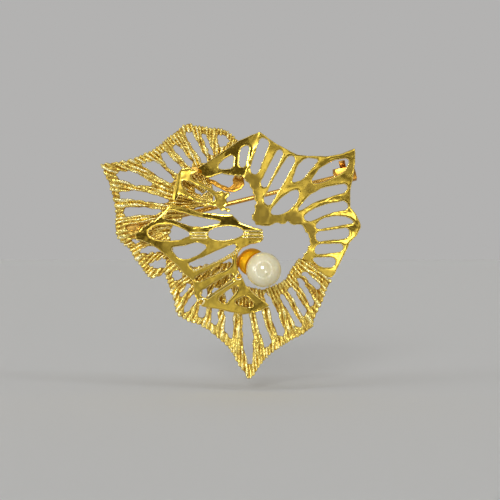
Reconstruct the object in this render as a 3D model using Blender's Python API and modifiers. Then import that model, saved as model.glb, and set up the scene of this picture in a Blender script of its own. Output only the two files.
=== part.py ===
"""Openwork gold brooch: overlapping bark-textured and polished leaves, one pearl, pin and safety catch.

The front of the brooch faces -Y and it stands upright, as it is worn: +X to the right, +Z up.
The origin is the middle of the closed pin, on the pin's axis.
Front pieces are drawn flat, (across, up) in millimetres about the middle of the brooch, and are
then raised to their height towards the viewer. Fittings are drawn along the pin's own line.
"""

import math

import bmesh
import bpy
from mathutils import Matrix, Vector

MM = 0.001
WELD_DISTANCE = 0.001
CUT_TOLERANCE = 0.01
SMOOTH_BELOW = math.radians(35)

# Driving dimensions, in millimetres unless the name says otherwise.
CAST_THICKNESS = 0.9
POLISHED_THICKNESS = 0.8
ARCH_THICKNESS = 0.7
SEAM = 0.1
CORNER_CUT = 0.4
CORNER_SHARE = 0.3
FORMING_GRID = 5.0

HINGE_AT = (-16.4, 3.8)
PIN_TILT = math.radians(13.9)
PIN_HEIGHT = -2.4
CATCH_REACH = 36.0

PEARL_RADIUS = 2.76
PEARL_STEPS = 13
PEARL_AT = Vector((5.17, -2.93, 6.9))
CUP_AXIS = Vector((1.81, -1.17, 2.09)).normalized()
CUP_RADIUS = 2.2
CUP_BEHIND = 3.0
CUP_RIM = -2.2
CUP_SEAT_STEPS = 5
CUP_DOME_STEPS = 9
SEAT_CLEARANCE = 0.08
PEG_RADIUS = 0.38
PEG_SEGMENTS = 16
PEG_CLEARANCE = 0.05
PEG_TOP = -0.7
PEG_HOLE_TOP = -0.6
PEG_BOTTOM = -5.0

POST_RADIUS = 0.4
POST_SEGMENTS = 12
RIM_SAMPLES = 8
CUP_STEM_RADIUS = 0.45
CUP_STEM_AT = (0.5, -3.5)
CUP_STEM_RISE = 1.2
WIRE_STEPS = 8

RIVET_RADIUS = 0.36
RIVET_HEAD_RADIUS = 0.68
RIVET_HEAD_THICKNESS = 0.3
RIVET_HEAD_SIDE = 0.12
RIVET_HEAD_TOP_SHARE = 0.7
RIVET_HEAD_GAP = 0.05
RIVET_CLEARANCE = 0.05
EAR_INNER = 0.95
EAR_THICKNESS = 0.45
EAR_RADIUS = 0.95
EAR_HALF_WIDTH = 0.88
FORK_BASE_LENGTH = 3.2
FORK_BASE_LIP = 0.12
FORK_BASE_THICKNESS = 0.5
FORK_REACH = (1.8, 1.6)
KNUCKLE_RADIUS = 0.82
KNUCKLE_WIDTH = 1.7
SLEEVE_RADIUS = 0.62
SLEEVE_END = 2.4
STEM_SOCKET_START = 1.3
STEM_SOCKET_GAP = 0.1
STEM_RADIUS = 0.42
STEM_TAPER_START = 24.0
STEM_CATCH_RADIUS = 0.36
STEM_POINT_RADIUS = 0.08
STEM_POINT_LENGTH = 3.0
STEM_TIP_LENGTH = 0.1
STEM_END = 37.7

HOUSING_RADIUS = 1.35
HOUSING_BORE = 1.02
HOUSING_LENGTH = 3.4
WINDOW_LENGTH = 1.3
WINDOW_REACH = 2.0
SLOT_WIDTH = 1.1
MOUTH_DEPTH = 2.0
ROLLER_RADIUS = 0.96
ROLLER_BORE = 0.62
ROLLER_LENGTH = 3.6
ROLLER_SLOT_WIDTH = 1.06
LEVER_ROOT = 0.8
LEVER_LENGTH = 2.5
LEVER_WIDTH = 1.0
LEVER_THICKNESS = 0.45
LEVER_ANGLE = math.radians(20)
WINDOW_FROM = math.radians(45)
WINDOW_TO = math.radians(-155)
CATCH_POST_LENGTH = 1.6
CATCH_POST_WIDTH = 0.9
CATCH_PLATE_LENGTH = 3.2
CATCH_PLATE_WIDTH = 2.2
CATCH_PLATE_THICKNESS = 0.45
CATCH_PLATE_REACH = (1.8, 1.4)
CATCH_SLOPE_ALLOWANCE = 1.05

ROUND_SEGMENTS = 24
FAN_STEPS = 8
OVERLAP = 0.1
OVERSHOOT = 0.5

# Outlines and openings of the leaves, (across, up) about the middle of the brooch.
LEFT_LEAF_OUTLINE = [
    (-20.9, 13.9), (-19.4, 14.2), (-17.8, 14.4), (-16.7, 14.6), (-15.4, 15), (-14, 15.7),
    (-12.8, 16.2), (-11.5, 17.1), (-10.4, 18.1), (-9, 19.2), (-7.5, 20.4), (-6.6, 20.6), (-5.9, 20.2),
    (-4.9, 20.2), (-3.4, 19.8), (-1.8, 19.8), (-1, 19.5), (0.2, 18.7), (1.4, 17.6), (-0.2, 16.2),
    (-1.6, 15), (-3.2, 13.6), (-3.4, 11.7), (-2.9, 9.8), (-2.9, 8.2), (-3.7, 7.2), (-5.6, 6.9),
    (-7.2, 6.2), (-8.2, 5), (-9.4, 4), (-10.1, 2.4), (-9.4, 1.3), (-9.3, -0.6), (-9.2, -2.2),
    (-9.8, -3), (-10.8, -3.6), (-11.8, -4.2), (-13, -4.5), (-13.9, -3.5), (-14.6, -2.5), (-15, -1.8),
    (-15.7, -1), (-16.3, 0.2), (-17.3, 1.1), (-18.2, 1.9), (-18.6, 2.9), (-18.7, 4), (-18.6, 5.7),
    (-18.7, 7), (-19, 8.3), (-19.4, 9.8), (-19.7, 11), (-20.2, 11.8), (-20.5, 12.9),
]
LEFT_LEAF_SLOTS = [
    [(-13.6, -2.2), (-10.7, -1), (-10.4, -2.4), (-11.7, -2.9)],
    [(-14.8, 0.4), (-12, 0.9), (-10.9, 0), (-13, -0.3), (-14.7, -0.3)],
    [(-16, 1.8), (-14.9, 1.8), (-14.7, 1.4), (-15.8, 1.3)],
    [(-17, 3.4), (-16.8, 4.2), (-12.8, 5), (-14.4, 3.8), (-15.8, 3.2)],
    [(-17.3, 6.9), (-14.6, 7), (-11.2, 6.8), (-11.7, 5.9), (-14.6, 5.7), (-17.2, 5.5)],
    [(-18.1, 9.6), (-15.8, 9.7), (-13.6, 9.4), (-10.1, 8.2), (-10.4, 7.7), (-14.4, 8.2), (-17.8, 8.3)],
    [(-18.6, 12.7), (-16, 12.8), (-13.9, 11.8), (-12.5, 10.7), (-14, 10.5), (-16.9, 11), (-18.2, 11.7)],
    [(-14.7, 13.9), (-13.1, 14.6), (-12, 14.2), (-9.7, 12.2), (-9, 11.2), (-10.6, 11.2), (-11.5, 12),
     (-13.6, 13.3)],
    [(-11.4, 15.7), (-10.6, 16.1), (-7.6, 12.8), (-8.7, 12.2), (-10.6, 13.9)],
    [(-9.6, 17), (-8.5, 17), (-5.9, 13.9), (-6.9, 13.4)],
    [(-7.6, 19), (-6.4, 19.4), (-3.8, 14.4), (-4.6, 14.1)],
    [(-4.8, 18.7), (-4.2, 18.9), (-2.7, 15.4), (-3.2, 15.2)],
    [(-2.4, 18.6), (-1.2, 18.7), (-0.1, 17.9), (-0.9, 17), (-1.8, 16.5)],
    [(-6.2, 10.2), (-5.1, 9.9), (-4.3, 9), (-5.4, 9.1)],
]

RIGHT_LEAF_OUTLINE = [
    (4.6, 18.9), (6.8, 17.3), (8.5, 16.4), (10.6, 15.4), (12.8, 15.2), (15.7, 15.2), (17.8, 15.7),
    (19.9, 16.5), (20, 15.7), (20, 14.1), (19.6, 11.5), (19.2, 9.6), (19.2, 7), (20.2, 5.9),
    (20.9, 4.3), (20.9, 3.7), (20.2, 2.4), (19.2, 1.4), (18.7, 0.2), (17.9, -1.4), (17.3, -2.4),
    (16.8, -3.7), (16.1, -4.4), (14.8, -4.2), (12.6, -2.9), (11.5, -1.9), (11.5, -0.9), (12.3, 0.4),
    (12.7, 1.4), (12.7, 2), (12, 3.2), (11.4, 4), (10.2, 4.2), (9.4, 4.6), (8.5, 4.4), (7.5, 4.4),
    (6.2, 4), (4.5, 4), (3.5, 4.8), (3.4, 5.8), (4, 7.6), (3.5, 9.2), (2.8, 10.7), (2.1, 11.5),
    (0.8, 12), (-0.5, 12.2), (-1.8, 12.2), (-3.2, 11.7), (-4, 11.6), (-4.9, 12.3), (-6.6, 13.3),
    (-5.1, 13.5), (-4.2, 13.9), (-1.4, 15.8), (1.4, 17.6), (3.4, 18.4),
]
RIGHT_LEAF_SLOTS = [
    [(4.7, 18.1), (6.2, 17.4), (4.3, 12.3), (3.7, 12), (3, 12.8)],
    [(7.5, 16.3), (8.5, 15.7), (5.5, 9.9), (4.6, 10.6)],
    [(9.4, 15.4), (10.4, 14.7), (8.6, 11.2), (6.2, 7.1), (5, 7.9), (7.6, 12.8)],
    [(12, 14.9), (14.2, 14.7), (12.7, 13), (11.5, 11.4), (9.8, 10.9), (9.8, 11.4), (10.6, 13.6)],
    [(18.9, 15), (16.5, 14.6), (14.3, 13.3), (12.7, 11.2), (13.5, 10.7), (15.7, 11.4), (17.8, 12.5),
     (18.9, 13.9)],
    [(11, 9.7), (10.1, 9.8), (8.3, 8.7), (6.5, 6.7), (6.3, 5.8), (8, 5.8), (9.4, 6.6), (10.7, 8.1)],
    [(18.7, 10.9), (18.6, 9.5), (16.8, 9), (13.5, 7.9), (10.9, 6.4), (10.7, 6.7), (12.5, 8.9),
     (14.8, 10.2)],
    [(18.6, 8.1), (18.9, 6.7), (17, 6.4), (15, 5.8), (12.4, 4.6), (11.5, 5.4), (12.9, 6.6), (15.7, 7.6)],
    [(18.9, 5.5), (20, 4.5), (17.8, 4.2), (13.9, 3.5), (13.4, 4), (14.7, 5.2), (16.6, 5.6)],
    [(19, 3.8), (19, 2.1), (13.7, 1.5), (13.6, 3)],
    [(18.1, 1.2), (18, -0.1), (13.5, -0.6), (13.4, 0.5), (14, 1.1)],
    [(16.9, -1.1), (16.7, -2.6), (14.5, -2.6), (13, -1.4), (13.5, -1)],
    [(3, 16.8), (1.8, 16.5), (1.4, 15.9), (1.3, 13.3), (2.3, 13.2)],
    [(0.5, 15.4), (-0.7, 14.9), (-1.8, 13.9), (-2.1, 13.2), (-1.4, 13), (0.3, 13)],
]

BOTTOM_LEAF_OUTLINE = [
    (11, -1), (12.5, -1.8), (16, -4.5), (16, -5), (15.3, -6.1), (14.7, -8), (13.9, -9.6),
    (13.4, -10.7), (13.1, -12.2), (11.6, -13.3), (9.8, -14.2), (8.5, -15), (7, -16), (5.8, -17),
    (4.6, -18.4), (3.7, -19.9), (2.8, -20.6), (2.1, -19.5), (1.1, -18.1), (0.2, -16.4), (-0.5, -15.4),
    (-2.2, -13.9), (-3.5, -12.8), (-5.3, -11.8), (-6.9, -11.3), (-8.4, -10.4), (-9, -9.4), (-9, -8.5),
    (-9.5, -7), (-10.2, -5), (-10.6, -3.7), (-10.2, -1.6), (-8.5, -1.6), (-5.8, -2.6), (-2.6, -1.8),
    (0.2, -1.8), (1.3, -3.4), (2.4, -5.6), (5, -6.2), (6.6, -5.6), (8.2, -5), (8.8, -4.3), (9.9, -2.4),
]
BOTTOM_LEAF_SLOTS = [
    [(11.2, -3.5), (12, -3.2), (14.4, -5.6), (14, -6.3)],
    [(10.5, -4.5), (11.2, -4.3), (13.3, -8.2), (12.9, -9.1)],
    [(9, -5.9), (9.8, -5.9), (12.3, -10), (11.4, -10.6)],
    [(7.7, -7), (8.2, -6.9), (11.6, -12.2), (10.7, -12.3)],
    [(5.1, -6.7), (6.2, -7), (8.8, -13.3), (7.7, -13.9)],
    [(3.4, -7.5), (4.2, -7.4), (6.5, -15), (5.4, -15.7)],
    [(1.9, -9.1), (2.6, -9.1), (3.5, -13.6), (3.5, -18.1), (2.6, -18.1), (1.9, -14.7)],
    [(-0.8, -5.8), (0.3, -6.2), (0.4, -10.2), (0.2, -14.4), (-1.1, -12.6)],
    [(-2.9, -5.9), (-1.8, -5.9), (-2.2, -11.8), (-3.2, -11.8)],
    [(-4.6, -5.9), (-3.8, -6.1), (-4.4, -10.9), (-5.3, -10.6)],
    [(-6.1, -6.9), (-5.4, -7.4), (-6.9, -10), (-7.8, -9.4)],
    [(-6.8, -5), (-6.4, -5.8), (-7.9, -7.4), (-8.4, -7)],
    [(-9.7, -3.5), (-8.5, -2.9), (-7.6, -4), (-8.9, -5)],
]

CENTRE_LEAF_OUTLINE = [
    (-9.5, 7.6), (-5, 6.2), (-1.4, 5.8), (0.2, 5.8), (1.4, 4.6), (3.4, 3.8), (5, 3.4), (5.2, 1.8),
    (4.8, 1.4), (3, 1), (1.9, 0.5), (1.2, -0.3), (0.95, -1.8), (1.2, -3.1), (1.9, -4.3), (2.4, -5.4),
    (3.8, -6.9), (5.1, -7.8), (6.2, -8.7), (5, -9.4), (3.5, -9.9), (1.9, -10.2), (0.3, -9.9),
    (-1.4, -9.4), (-3.4, -9.1), (-4.6, -8.9), (-5.3, -8.2), (-5.8, -7), (-6.2, -4.6), (-7.4, -3.7),
    (-8.7, -2.2), (-10.6, -0.6), (-12, 0.6), (-13.6, 1.4), (-15.1, 1.9), (-15.4, 2.6), (-14.2, 3.7),
    (-11.8, 5.1),
]
CENTRE_LEAF_SLOTS = [
    [(-9.7, 6.6), (-11, 5.3), (-8.7, 4.8), (-6.7, 4), (-4.3, 3.8), (-1.5, 4.5), (-2, 4.8), (-6.2, 5.6)],
    [(-13.4, 2.9), (-12, 4), (-9.5, 4.2), (-7.6, 3.5), (-6.2, 2.6), (-7.9, 1.8), (-10.4, 1.6),
     (-12.5, 2.1)],
    [(-3.7, 2.7), (-3, 3.5), (-0.5, 4), (1.4, 3.7), (2.2, 2.9), (1.1, 2.1), (-1.4, 1.6), (-3.2, 1.9)],
    [(-9.6, 0.5), (-7.4, 0.8), (-5.2, 1.4), (-3.6, 0.8), (-4.6, -0.2), (-5.9, -1), (-7.4, -1.3),
     (-8.3, -1.2)],
    [(-6.9, -2.2), (-6.2, -1.7), (-3.8, -0.7), (-1.4, 0.4), (0.8, 1.2), (0.8, 0.2), (-0.8, -0.8),
     (-3, -2), (-5.8, -3)],
    [(-5.9, -4.3), (-0.2, -1.2), (0.2, -1.1), (0.2, -2.1), (-0.5, -2.9), (-5.4, -5)],
    [(-5.1, -6.6), (-0.1, -3.5), (0.6, -4), (-4.2, -7.7)],
    [(-2.2, -7.6), (0.8, -5.3), (1.3, -5.9), (-0.9, -8.6)],
    [(0.4, -8.2), (2.4, -7), (3.8, -8.6), (2.4, -9.1)],
]

UPPER_PETAL_OUTLINE = [
    (-7.9, 13), (-6.6, 13.2), (-5.4, 12.9), (-5.4, 12.5), (-6.3, 12.1), (-6.1, 11.5), (-5, 10.9),
    (-3.3, 10), (-2.1, 9.4), (-0.6, 9.5), (-0.3, 9), (-0.7, 8.3), (-0.5, 7.7), (-1, 7), (-0.1, 6.5),
    (-0.6, 6.2), (-1.8, 6.5), (-2.2, 6.9), (-3.7, 7.3), (-5.6, 7.8), (-7.2, 8.6), (-8.2, 9), (-8.7, 8),
    (-9.4, 8.1), (-9, 10.2), (-8.6, 12),
]
UPPER_PETAL_SLOTS = [
    [(-7.8, 11.4), (-7.7, 10.5), (-7.1, 9.5), (-5.8, 8.5), (-4.5, 8), (-2.9, 7.8), (-2.3, 8.3),
     (-3.3, 9.3), (-5, 10.1), (-6.6, 10.9)],
]

REAR_ARCH_OUTLINE = [
    (-4, 11.7), (-2.7, 11.4), (-1.4, 10.6), (-0.3, 10.2), (0.3, 10.7), (0.2, 11.5), (0.8, 12.6),
    (1.9, 12.5), (2.2, 10.7), (1.6, 9.9), (0.5, 9.4), (-0.8, 9.5), (-2.1, 10.2), (-3.4, 10.9),
]

# The folds and dishing that raise each sheet towards the viewer.
CALYX = (-4.2, 6.6)
LEFT_LEAF_BASE = 0.8
LEFT_LEAF_DISH = 0.004

SPINE_TOP = (4.64, 18.88)
SPINE_FOOT = (2.08, 11.52)
SPINE_HEIGHT = 5.6
SPINE_FALL = 0.38
SPINE_FLATTENING = 0.0072
LOWER_END_START = 3.0
LOWER_END_FALL = 0.08
FOLD_ROUNDNESS = 0.3

BOTTOM_LEAF_MIDDLE = (2.5, -8.0)
BOTTOM_LEAF_BASE = 1.9
BOTTOM_LEAF_DISH = 0.0045
BOTTOM_LEAF_TILT = 0.03

RIDGE_UP = 2.6
RIDGE_MIDDLE = 2.0
RIDGE_HEIGHT = 6.2
RIDGE_CURVE = 0.00925
RIDGE_FALL_ABOVE = 0.35
RIDGE_FALL_BELOW = 0.25

PETAL_HEIGHT = 4.5
PETAL_FOLD_TOP = (-7.6, 13.0)
PETAL_FOLD_FOOT = (-8.5, 8.0)
PETAL_FALL = 0.7
ARCH_HEIGHT = 1.8

FINISHES = {
    "textured_gold": ((0.83, 0.62, 0.22), 0.34, 1.0),
    "polished_gold": ((0.86, 0.66, 0.16), 0.12, 1.0),
    "cup_gold": ((0.88, 0.52, 0.10), 0.22, 1.0),
    "fitting_gold": ((0.80, 0.58, 0.22), 0.28, 1.0),
    "pearl": ((0.93, 0.88, 0.76), 0.18, 0.0),
}


def clear_scene():
    for old in list(bpy.data.objects):
        bpy.data.objects.remove(old, do_unlink=True)


def new_collection(name):
    made = bpy.data.collections.new(name)
    bpy.context.scene.collection.children.link(made)
    return made


def new_empty(name, parent, location, turn):
    empty = bpy.data.objects.new(name, None)
    PARTS.objects.link(empty)
    empty.parent = parent
    empty.location = Vector(location) * MM
    empty.rotation_euler = turn
    return empty


def new_finish(name, finish):
    colour, roughness, metallic = FINISHES[finish]
    material = bpy.data.materials.new(name)
    material.use_nodes = True
    shader = material.node_tree.nodes["Principled BSDF"]
    shader.inputs["Base Color"].default_value = (*colour, 1)
    shader.inputs["Roughness"].default_value = roughness
    shader.inputs["Metallic"].default_value = metallic
    return material


def add_part(name, mesh, parent, finish, location=(0, 0, 0), turn=(0, 0, 0), smooth=True):
    """One finished sub-part, with its own material, in the brooch's collection."""
    part = bpy.data.objects.new(name, mesh)
    PARTS.objects.link(part)
    part.parent = parent
    part.location = Vector(location) * MM
    part.rotation_euler = turn
    mesh.materials.clear()
    mesh.materials.append(new_finish(name, finish))
    if smooth:
        mesh.shade_smooth()
        mesh.set_sharp_from_angle(angle=SMOOTH_BELOW)
    return part


def mesh_from(bm, name):
    bmesh.ops.recalc_face_normals(bm, faces=bm.faces)
    mesh = bpy.data.meshes.new(name)
    bm.to_mesh(mesh)
    bm.free()
    return mesh


# Heights towards the viewer, in millimetres, at a point of the flat drawing.
def soft_distance(distance):
    return math.hypot(distance, FOLD_ROUNDNESS) - FOLD_ROUNDNESS


def side_of(line_top, line_foot, across, up):
    """Distance from a line that runs down the drawing: above 0 to its right, below 0 to its left."""
    along = (Vector(line_foot) - Vector(line_top)).normalized()
    offset = Vector((across, up)) - Vector(line_top)
    return offset.y * along.x - offset.x * along.y


def left_leaf_height(across, up):
    return LEFT_LEAF_BASE + LEFT_LEAF_DISH * ((across - CALYX[0]) ** 2 + (up - CALYX[1]) ** 2)


def right_leaf_height(across, up):
    side = side_of(SPINE_TOP, SPINE_FOOT, across, up)
    height = SPINE_HEIGHT - SPINE_FALL * soft_distance(side)
    if side > 0:
        height += SPINE_FLATTENING * side**2
    return height - LOWER_END_FALL * max(0, LOWER_END_START - up)


def bottom_leaf_height(across, up):
    reach = (across - BOTTOM_LEAF_MIDDLE[0]) ** 2 + (up - BOTTOM_LEAF_MIDDLE[1]) ** 2
    return BOTTOM_LEAF_BASE + BOTTOM_LEAF_DISH * reach + BOTTOM_LEAF_TILT * across


def centre_leaf_height(across, up):
    ridge = RIDGE_HEIGHT - RIDGE_CURVE * (across - RIDGE_MIDDLE) ** 2
    fall = RIDGE_FALL_ABOVE if up > RIDGE_UP else RIDGE_FALL_BELOW
    return ridge - fall * soft_distance(up - RIDGE_UP)


def upper_petal_height(across, up):
    side = side_of(PETAL_FOLD_TOP, PETAL_FOLD_FOOT, across, up)
    return PETAL_HEIGHT - PETAL_FALL * soft_distance(min(side, 0))


def rear_arch_height(across, up):
    return ARCH_HEIGHT


def slope_at(height, across, up, step=0.05):
    tilt_across = (height(across + step, up) - height(across - step, up)) / (2 * step)
    tilt_up = (height(across, up + step) - height(across, up - step)) / (2 * step)
    return math.sqrt(1 + tilt_across**2 + tilt_up**2)


def cut_corners(points):
    """Replaces each corner of a closed loop by two points, so that an opening has rounded ends."""
    rounded = []
    for index, corner in enumerate(points):
        here = Vector(corner)
        for other in (points[index - 1], points[(index + 1) % len(points)]):
            side = Vector(other) - here
            cut = min(CORNER_CUT, CORNER_SHARE * side.length)
            rounded.append(here + side.normalized() * cut)
    return rounded


def flat_sheet(loops, thickness):
    """A flat plate with openings: a filled 2D curve, extruded and turned into a mesh."""
    curve = bpy.data.curves.new("sheet", "CURVE")
    curve.dimensions = "2D"
    curve.fill_mode = "BOTH"
    curve.extrude = thickness / 2 * MM
    for loop in loops:
        spline = curve.splines.new("POLY")
        spline.points.add(len(loop) - 1)
        for point, (across, up) in zip(spline.points, loop):
            point.co = (across * MM, up * MM, 0, 1)
        spline.use_cyclic_u = True
    guide = bpy.data.objects.new("sheet", curve)
    CUTTERS.objects.link(guide)
    bpy.context.view_layer.update()
    mesh = bpy.data.meshes.new_from_object(guide.evaluated_get(bpy.context.evaluated_depsgraph_get()))
    bpy.data.objects.remove(guide)
    return mesh


def score_lines(outline, fold):
    """Where the flat sheet is divided so that it can bend: along its fold and on a square grid."""
    lines = [] if fold is None else [(Vector(fold[0]), Vector(fold[1]) - Vector(fold[0]))]
    for axis, run in ((0, Vector((0, 1))), (1, Vector((1, 0)))):
        low = min(point[axis] for point in outline)
        high = max(point[axis] for point in outline)
        count = math.ceil((high - low) / FORMING_GRID)
        for index in range(1, count):
            place = Vector((0, 0))
            place[axis] = low + (high - low) * index / count
            lines.append((place, run))
    return lines


def leaf(name, outline, slots, height, thickness, finish, fold=None):
    """A pierced sheet, formed to its height with the same thickness everywhere."""
    mesh = flat_sheet([outline] + [cut_corners(slot) for slot in slots], thickness)
    bm = bmesh.new()
    bm.from_mesh(mesh)
    bmesh.ops.remove_doubles(bm, verts=bm.verts, dist=WELD_DISTANCE * MM)
    for place, run in score_lines(outline, fold):
        everything = list(bm.verts) + list(bm.edges) + list(bm.faces)
        bmesh.ops.bisect_plane(
            bm,
            geom=everything,
            dist=CUT_TOLERANCE * MM,
            plane_co=(place.x * MM, place.y * MM, 0),
            plane_no=(-run.y, run.x, 0),
        )
    bmesh.ops.triangulate(bm, faces=bm.faces)
    for vert in bm.verts:
        across = vert.co.x / MM
        up = vert.co.y / MM
        half = thickness / 2 * slope_at(height, across, up)
        vert.co.z = (height(across, up) + math.copysign(half, vert.co.z)) * MM
    return add_part(name, mesh_from(bm, name), FRONT, finish, smooth=False)


def rod(radius, length, segments=ROUND_SEGMENTS):
    """A bar along +Z from 0 to its length."""
    bm = bmesh.new()
    lift = Matrix.Translation((0, 0, length / 2 * MM))
    bmesh.ops.create_cone(
        bm, cap_ends=True, segments=segments, radius1=radius * MM, radius2=radius * MM,
        depth=length * MM, matrix=lift,
    )
    return bm


def block(low, high):
    """A box between two corners."""
    bm = bmesh.new()
    size = Vector(high) - Vector(low)
    middle = (Vector(high) + Vector(low)) / 2
    place = Matrix.Translation(middle * MM) @ Matrix.Diagonal((size * MM).to_4d())
    bmesh.ops.create_cube(bm, size=1, matrix=place)
    return bm


def along(bm, axis, start=(0, 0, 0)):
    """Turns what is drawn along +Z to run along another axis, from a start point."""
    turn = Vector(axis).to_track_quat("Z", "Y").to_matrix().to_4x4()
    bmesh.ops.transform(bm, matrix=Matrix.Translation(Vector(start) * MM) @ turn, verts=bm.verts)
    return bm


def drill(radius, start, end, axis):
    """A round cutter along an axis, which overshoots both ends of the hole."""
    length = end - start + 2 * OVERSHOOT
    return along(rod(radius, length), axis, Vector(axis) * (start - OVERSHOOT))


def slit(width, start, end):
    """A cutter along X for the mouth that opens a barrel to the rear."""
    return block((start - OVERSHOOT, -width / 2, -MOUTH_DEPTH), (end + OVERSHOOT, width / 2, 0))


def shape(body, steps):
    """Joins to, or cuts from, a body with a list of (operation, solid), by exact Booleans."""
    bench = bpy.data.objects.new("bench", mesh_from(body, "bench"))
    CUTTERS.objects.link(bench)
    tools = []
    for operation, solid in steps:
        tool = bpy.data.objects.new("tool", mesh_from(solid, "tool"))
        CUTTERS.objects.link(tool)
        tools.append(tool)
        boolean = bench.modifiers.new(operation, "BOOLEAN")
        boolean.operation = operation
        boolean.object = tool
    bpy.context.view_layer.update()
    made = bpy.data.meshes.new_from_object(bench.evaluated_get(bpy.context.evaluated_depsgraph_get()))
    for helper in [bench] + tools:
        bpy.data.objects.remove(helper)
    return made


def turned(name, profile, parent, finish, location, axis, closed=False):
    """A turned piece: its profile of (radius, height) swept round the axis by a Screw modifier."""
    mesh = bpy.data.meshes.new(name)
    points = [(radius * MM, 0, height * MM) for radius, height in profile]
    edges = [(index, index + 1) for index in range(len(points) - 1)]
    if closed:
        edges.append((len(points) - 1, 0))
    mesh.from_pydata(points, edges, [])
    turn = Vector(axis).to_track_quat("Z", "Y").to_euler()
    part = add_part(name, mesh, parent, finish, location, turn, smooth=False)
    screw = part.modifiers.new("turn", "SCREW")
    screw.steps = ROUND_SEGMENTS
    screw.render_steps = ROUND_SEGMENTS
    screw.use_merge_vertices = True
    screw.merge_threshold = 0.00001
    screw.use_smooth_shade = True
    return part


def arc(radius, middle, start, end, count):
    """Points (radius from the axis, height) on a circle centred on the axis, between two heights."""
    first = math.acos((start - middle) / radius)
    last = math.acos((end - middle) / radius)
    angles = [first + (last - first) * index / (count - 1) for index in range(count)]
    return [(radius * math.sin(angle), middle + radius * math.cos(angle)) for angle in angles]


def leaves():
    leaf("left_leaf", LEFT_LEAF_OUTLINE, LEFT_LEAF_SLOTS, left_leaf_height, CAST_THICKNESS,
         "textured_gold")
    leaf("bottom_leaf", BOTTOM_LEAF_OUTLINE, BOTTOM_LEAF_SLOTS, bottom_leaf_height, CAST_THICKNESS,
         "textured_gold")
    leaf("right_leaf", RIGHT_LEAF_OUTLINE, RIGHT_LEAF_SLOTS, right_leaf_height, POLISHED_THICKNESS,
         "polished_gold", fold=(SPINE_TOP, SPINE_FOOT))
    leaf("centre_leaf", CENTRE_LEAF_OUTLINE, CENTRE_LEAF_SLOTS, centre_leaf_height,
         POLISHED_THICKNESS, "polished_gold", fold=((0, RIDGE_UP), (1, RIDGE_UP)))
    leaf("upper_petal", UPPER_PETAL_OUTLINE, UPPER_PETAL_SLOTS, upper_petal_height,
         POLISHED_THICKNESS, "polished_gold", fold=(PETAL_FOLD_TOP, PETAL_FOLD_FOOT))
    leaf("rear_arch", REAR_ARCH_OUTLINE, [], rear_arch_height, ARCH_THICKNESS, "polished_gold")


def level(height, thickness, across, up, side):
    """The furthest level of a sheet's front (side 1) or back (side -1) under the rim of a post."""
    found = []
    for index in range(RIM_SAMPLES):
        angle = math.tau * index / RIM_SAMPLES
        x = across + POST_RADIUS * math.cos(angle)
        y = up + POST_RADIUS * math.sin(angle)
        found.append(height(x, y) + side * thickness / 2 * slope_at(height, x, y))
    return max(found) if side > 0 else min(found)


def solder_posts():
    """Short posts that carry each leaf on the one behind it."""
    cast = {"left": left_leaf_height, "bottom": bottom_leaf_height}
    polished = {
        "right": right_leaf_height, "centre": centre_leaf_height, "petal": upper_petal_height,
        "arch": rear_arch_height,
    }
    heights = {**cast, **polished}
    places = [
        ("left", "bottom", -9.7, -2.2),
        ("left", "right", -3.9, 12.7),
        ("left", "centre", -12.2, 1.45),
        ("left", "petal", -8.4, 9.8),
        ("right", "bottom", 13.3, -2.85),
        ("bottom", "centre", -3.55, -8.6),
        ("right", "petal", -5.8, 12.8),
        ("arch", "right", 1.3, 12.25),
    ]
    for lower, upper, across, up in places:
        thick = {name: CAST_THICKNESS if name in cast else POLISHED_THICKNESS for name in heights}
        start = level(heights[lower], thick[lower], across, up, 1) + SEAM
        end = level(heights[upper], thick[upper], across, up, -1) - SEAM
        name = f"post_{lower}_{upper}"
        mesh = mesh_from(rod(POST_RADIUS, end - start, segments=POST_SEGMENTS), name)
        add_part(name, mesh, FRONT, "fitting_gold", (across, up, start))


def pearl_and_setting():
    """The pearl on its peg, in a domed cup that leans to the right and down, on a bent stem."""
    seat = PEARL_RADIUS + SEAT_CLEARANCE
    hole = PEG_RADIUS + PEG_CLEARANCE
    pole = math.sqrt(PEARL_RADIUS**2 - hole**2)
    ball = arc(PEARL_RADIUS, 0, PEARL_RADIUS, -pole, PEARL_STEPS)
    ball[0] = (0, PEARL_RADIUS)
    turned("pearl", ball + [(hole, PEG_HOLE_TOP), (0, PEG_HOLE_TOP)], FRONT, "pearl", PEARL_AT,
           CUP_AXIS)

    seat_arc = arc(seat, 0, CUP_RIM, -math.sqrt(seat**2 - hole**2), CUP_SEAT_STEPS)[::-1]
    dome_back = -CUP_BEHIND - math.sqrt(CUP_RADIUS**2 - hole**2)
    dome_arc = arc(CUP_RADIUS, -CUP_BEHIND, CUP_RIM, dome_back, CUP_DOME_STEPS)
    turned("pearl_cup", seat_arc + dome_arc, FRONT, "cup_gold", PEARL_AT, CUP_AXIS, closed=True)

    peg = rod(PEG_RADIUS, PEG_TOP - PEG_BOTTOM, segments=PEG_SEGMENTS)
    foot = PEARL_AT + CUP_AXIS * PEG_BOTTOM
    add_part("pearl_peg", mesh_from(along(peg, CUP_AXIS, foot), "pearl_peg"), FRONT, "cup_gold")

    top = PEARL_AT - CUP_AXIS * (CUP_BEHIND + CUP_RADIUS + SEAM)
    foot = Vector((*CUP_STEM_AT, level(bottom_leaf_height, CAST_THICKNESS, *CUP_STEM_AT, 1) + SEAM))
    bend = [top, top - CUP_AXIS, foot + Vector((0, 0, CUP_STEM_RISE)), foot]
    wire("cup_stem", bend, CUP_STEM_RADIUS, "fitting_gold")


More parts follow.
